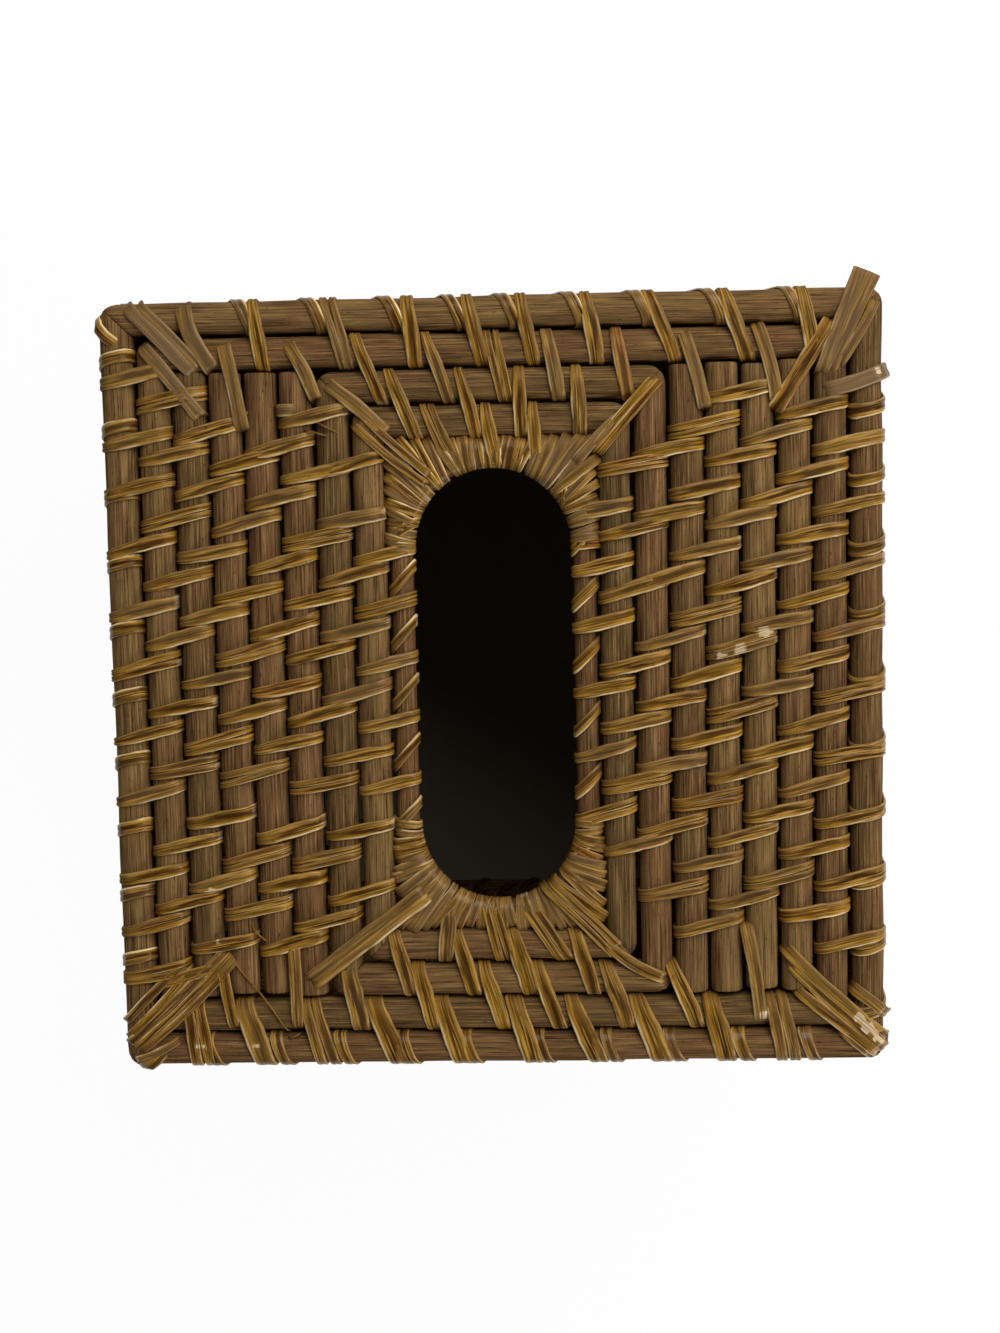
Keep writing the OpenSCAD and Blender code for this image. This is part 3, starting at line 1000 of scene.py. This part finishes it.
# Strips that start in the seam beside the second square and end between the straight rods
END_STRIPS = (
    ((222, 342), (234, 390), (242, 432), 15, 0.3, 0.4),
    ((286, 342), (303, 370), (316, 401), 14, 0.4, 0.3),
    ((683, 330), (696, 370), (706, 410), 14, 0.4, 0.4),
    ((757, 322), (770, 362), (778, 402), 14, 0.4, 0.3),
    ((221, 963), (228, 1000), (236, 1031), 13, 0.7, 0.0),
    ((293, 940), (296, 985), (298, 1031), 13, 0.7, 0.2),
    ((746, 924), (755, 970), (762, 1023), 14, 0.4, 0.3),
    ((273, 411), (286, 410), (299, 410), 13, 0.5, 0.4),
)
# Loose fibres beside the strips near the corners
LOOSE_FIBRES = (
    ((233, 962), (262, 996), (289, 1034), 1.4, 0.4, 0.0),
    ((250, 926), (268, 944), 1.4, 0.4, 0.0),
    ((286, 1040), (302, 1034), 1.3, 0.4, 0.2),
    ((300, 428), (330, 437), 1.6, 0.4, 0.3),
    ((312, 420), (340, 434), 1.4, 0.4, 0.3),
    ((232, 428), (248, 410), 2.2, 0.4, 0.0),
)
# Places painted pale cream on the strips: the four above row 660 are chips to pale wood, and most
# of those near the front corners are painted glints. Column, row, radius in millimetres
PALE_MARKS = (
    (741, 649, 1.2), (721, 655, 0.8), (766, 632, 1.2), (878, 370, 0.7), (858, 1018, 1.1),
    (868, 1027, 1.2), (878, 1037, 1.2), (132, 1060, 1.0), (212, 889, 0.7), (219, 942, 0.7),
    (200, 1046, 0.8), (256, 1046, 1.0), (765, 1016, 1.0), (876, 1054, 0.8),
)


def photo_strips(name, listed):
    """Strips laid through listed pixels. Their ends turn down into a seam or over the edge rod,
    but one that stands out past the edge is stiff and cut square."""
    strands = []
    edge = cad_box[1][0] / MM
    for n, (*pixels, width, tone, wear) in enumerate(listed):
        rng = seeded(f"{name}{n}")
        points = [photo_point(*p)[:2] for p in pixels]
        lift = rng.uniform(0.02, 0.12)
        dips = [0 if np.abs(p).max() > edge + 0.5 else END_DIP for p in (points[0], points[-1])]
        strands.append(laid_strip(rng, points, width * PIXEL, tone, wear, lift, dips))
    return strands


def pale_marked(strands):
    """Paints the tops of strips pale cream at the marks: chips to pale wood, and painted glints."""
    for s in strands:
        top = s["points"][..., 2] > CROWN_Z - 1
        for column, row, radius in PALE_MARKS:
            x, y = photo_point(column, row)[:2]
            away = np.hypot(s["points"][..., 0] - x, s["points"][..., 1] - y)
            here = np.pad(top & (away < radius), ((0, int(s["closed"])), (0, 1)), mode="wrap")
            s["span"] = np.where(here, PALE_MARK_SPAN, s["span"])
    return strands


def add_corner_strips(peel):
    strands = photo_strips("corner", CORNER_STRIPS) + photo_strips("ends", END_STRIPS)
    strands += photo_strips("loose", LOOSE_FIBRES)
    add_piece("top_corner_strips", pale_marked(strands), peel, proud=STAND_OUT)
    add_piece("opening_corner_strips", photo_strips("frame", FRAME_CORNER_STRIPS), peel)


def wound_strip(rng, place, lean, width, far_out, tone, wear, lift, inner=0.85, outer=1.0):
    """A narrow strip closed round the bent rod. It may reach further out, round what lies there,
    and inner and outer are the shares of its width at both ends. It is painted dark as shade in
    the seam outside."""
    apart = max(far_out, 0.01)
    path, lengths = loop_path(apart, BENT_R + SLACK, BENT_R + SLACK, 9, 5 if far_out > 0.8 else 1)
    made = stitch(rng, path, lengths, lean, width, tone, wear, lift, start=inner, end=outer)
    share = path[:, 0:1] / np.abs(path[:, 0]).max()
    # Painted shade, darkest at the outer end in the seam by the frame.
    light = np.clip((path[:, 3:4] + 0.35) / 0.5, 0.05, 1)
    made["shade"] = light * (1 - 0.8 * np.clip((share - 0.6) / 0.4, 0, 1))
    # Span is turned round, so the golden painted highlight, the pale ends and the full gloss lie at
    # the opening's edge, and the greyish painted sheen at the outer end.
    made["span"] = 1 - made["span"]
    local = made["points"]
    out = local[..., 0] + apart / 2
    beside = abs(np.mod(place + BENT_Y, LAP / 2) - BENT_Y) < BENT_Y
    round_it = 1 if beside else np.clip(1 + out / BENT_X, 0.6, None)
    x, y = stadium(place + local[..., 1] / round_it, out)
    made["points"] = np.stack([x, y, local[..., 2] + TOP_Z], -1)
    return made


def room_outside(share):
    """Distance from the bent rod to the frame round it, at a share of the way round a bend."""
    way = math.pi * share
    beside = (HALF["inner_frame"][0] - ROD_R) / max(abs(math.cos(way)), 0.01)
    beyond = (HALF["inner_frame"][1] - ROD_R - BENT_Y) / max(abs(math.sin(way)), 0.01)
    return max(min(beside, beyond) - BENT_X - BENT_R, 0)


# Strips wound round each end of the opening, and their width
WRAPS_PER_BEND = 37
WRAP_WIDTH = 1.7
# Between two stitches of a straight side lies one more turn round the bent rod alone, aslant
SIDE_WRAP_WIDTH = 2.7
SIDE_WRAP_LEAN = 1.05


def add_opening_wraps(peel):
    """Strips wound side by side round both round ends, out to the frame, which they fill up to its
    corners, and aslant along the straight sides."""
    strands = []
    rng = seeded("wraps")
    for first in (BENT_Y, 3 * BENT_Y + BEND):
        for n in range(WRAPS_PER_BEND + 1):
            share = n / WRAPS_PER_BEND
            far = max(room_outside(share) + rng.uniform(-0.6, 0.3), 0)
            fan = 1 + far / 2 / BENT_X
            strands.append(wound_strip(
                rng, first + BEND * share + rng.uniform(-0.3, 0.3), rng.uniform(-0.2, 0.2),
                WRAP_WIDTH * fan * rng.uniform(0.75, 1.25), far, tone_of(rng), rng.uniform(0, 0.5),
                rng.uniform(0, 0.2), 0.8, 1.1,
            ))
    for rows, rod in ((RIGHT_ROWS[-1], BENT_X), (LEFT_ROWS[-1], -BENT_X)):
        stops = [2 * rows[0] - rows[1], *rows, 2 * rows[-1] - rows[-2]]
        for row in np.add(stops[:-1], stops[1:]) / 2:
            up = photo_meets(row, 1, rod)
            strands.append(wound_strip(
                rng, up if rod > 0 else LAP / 2 - up, SIDE_WRAP_LEAN + rng.uniform(-0.15, 0.2),
                SIDE_WRAP_WIDTH * rng.uniform(0.85, 1.15), 0.0, tone_of(rng), wear_of(rng),
                rng.uniform(0, 0.1),
            ))
    add_piece("opening_wraps", strands, peel)


# Width and lean of the strips round the upright corners, and the tone of the topmost one at the
# left of the back, which is bright amber
UPRIGHT_WIDTH = 2.4
UPRIGHT_LEAN = 0.5
AMBER = 1.0


def corner_strand(corner, course, centre, deep):
    """A strip round an upright corner, over two courses. The rods reach deep either way from a
    centre out along the diagonal."""
    upper, lower = HEIGHTS[course : course + 2]
    top = course == 0
    rng = seeded(f"upright{corner}_{course}")
    path, lengths = loop_path(upper - lower, ROD_R + SLACK, ROD_R + SLACK, *WALL_PATH)
    path[:, 1] *= (deep + SLACK) / (ROD_R + SLACK)
    tone = AMBER if top and corner == 1 else tone_of(rng)
    lean = -UPRIGHT_LEAN if course % 2 else UPRIGHT_LEAN
    made = stitch(
        rng, path, lengths, lean, UPRIGHT_WIDTH, tone, wear_of(rng), fine=False, open_end=top
    )
    height, beside, outward = stood_up(made, (upper + lower) / 2)
    way = math.radians(45 + 90 * corner)
    out = centre + outward
    x = out * math.cos(way) - beside * math.sin(way)
    y = out * math.sin(way) + beside * math.cos(way)
    made["points"] = np.stack([x, y, height], -1)
    return made


def add_wall_corner_strips(peel):
    inward = ROD_R * math.sqrt(2)
    deep = (2 * inward - CORNER_R * (math.sqrt(2) - 1)) / 2
    centre = np.hypot(*HALF["edge"]) - inward + deep
    strands = [
        corner_strand(corner, course, centre, deep)
        for corner in range(4)
        for course in range(len(COURSES) - 1)
    ]
    add_piece("wall_corner_strips", strands, peel)


# Floor and light
# Half the width of the paper floor and of the card under the cover, and their depths below it
FLOOR = 3000
FLOOR_DROP = 0.06
CARD = 66
CARD_DROP = 0.02
# How strongly the floor glows for the camera, and the glow's share of what shows there
FLOOR_GLOW = 1.01
GLOW_SHARE = 0.95
# How strongly the surroundings light the cover, and the point that the lamps face
SURROUND = 0.18
LAMP_AIM = (0, 0, 130)


def flat_sheet(name, half, drop, material):
    """A square sheet that isn't part of the object."""
    mesh = bpy.data.meshes.new(name)
    corners = [(-half, -half), (half, -half), (half, half), (-half, half)]
    mesh.from_pydata([(x * MM, y * MM, -drop * MM) for x, y in corners], [], [(0, 1, 2, 3)])
    mesh.materials.append(material)
    placed(name, mesh)


def white_paper():
    """Smooth white paper: white to the camera, and it still takes the cover's shadow."""
    made, tree = new_material("white_paper_floor")
    rays = add_node(tree, "LightPath", {}).outputs
    seen = combined(tree, "MAXIMUM", rays["Is Camera Ray"], rays["Is Glossy Ray"])
    seen = combined(tree, "MAXIMUM", seen, rays["Is Transmission Ray"])
    lit = add_node(tree, "BsdfDiffuse", {"Color": "#F2F1EE"}).outputs[0]
    glow = add_node(tree, "Emission", {"Color": "#FFFFFF", "Strength": FLOOR_GLOW}).outputs[0]
    both = add_node(tree, "MixShader", {0: times(tree, seen, GLOW_SHARE), 1: lit, 2: glow})
    add_node(tree, "OutputMaterial", {"Surface": both.outputs[0]})
    return made


def inside_shade_card():
    """Grey-brown card, dull and darker than the floor: a sheet under the cover as painted shade
    inside it, where the floor would glow white for the camera.
    """
    made, tree = new_material("grey_brown_card_uncoated")
    lit = add_node(tree, "BsdfDiffuse", {"Color": "#968A74"})
    add_node(tree, "OutputMaterial", {"Surface": lit.outputs[0]})
    return made


def add_floor():
    """A white floor, and a darker card under the cover as painted shade inside it."""
    flat_sheet("floor", FLOOR, FLOOR_DROP, white_paper())
    flat_sheet("card_inside", CARD, CARD_DROP, inside_shade_card())


def add_lamp(name, place, wide, deep, watts):
    """A rectangular lamp that faces the cover's middle, near its top."""
    lamp = bpy.data.lights.new(name, "AREA")
    lamp.shape = "RECTANGLE"
    lamp.size = wide * MM
    lamp.size_y = deep * MM
    lamp.energy = watts
    made = placed(name, lamp)
    made.location = Vector(place) * MM
    way = Vector(LAMP_AIM) - Vector(place)
    made.rotation_euler = way.to_track_quat("-Z", "Y").to_euler()


def add_light():
    add_lamp("softbox_back", (230, 400, 560), 620, 520, 3.75)
    add_lamp("strip_light_front", (430, -420, 400), 380, 220, 1.75)
    world = bpy.data.worlds.new("studio")
    bpy.context.scene.world = world
    world.use_nodes = True
    tree = world.node_tree
    tree.nodes.clear()
    camera_ray = add_node(tree, "LightPath", {}).outputs["Is Camera Ray"]
    around = add_node(tree, "Background", {"Color": "#FFFFFF", "Strength": SURROUND}).outputs[0]
    seen = add_node(tree, "Background", {"Color": "#FFFFFF", "Strength": 1.0}).outputs[0]
    both = add_node(tree, "MixShader", {0: camera_ray, 1: around, 2: seen})
    add_node(tree, "OutputWorld", {"Surface": both.outputs[0]})


def build():
    core = (rattan_core(), "rattan_rod", "_cane")
    peel = (rattan_peel(), "rattan_strip", "_peel")
    add_square_rods(core)
    add_straight_rods(core)
    add_wall_courses(core)
    add_opening_rod(core)
    add_top_stitches(peel)
    add_wall_stitches(peel)
    add_corner_strips(peel)
    add_opening_wraps(peel)
    add_wall_corner_strips(peel)
    add_floor()
    add_light()
    bpy.context.scene.view_settings.view_transform = "Standard"


build()
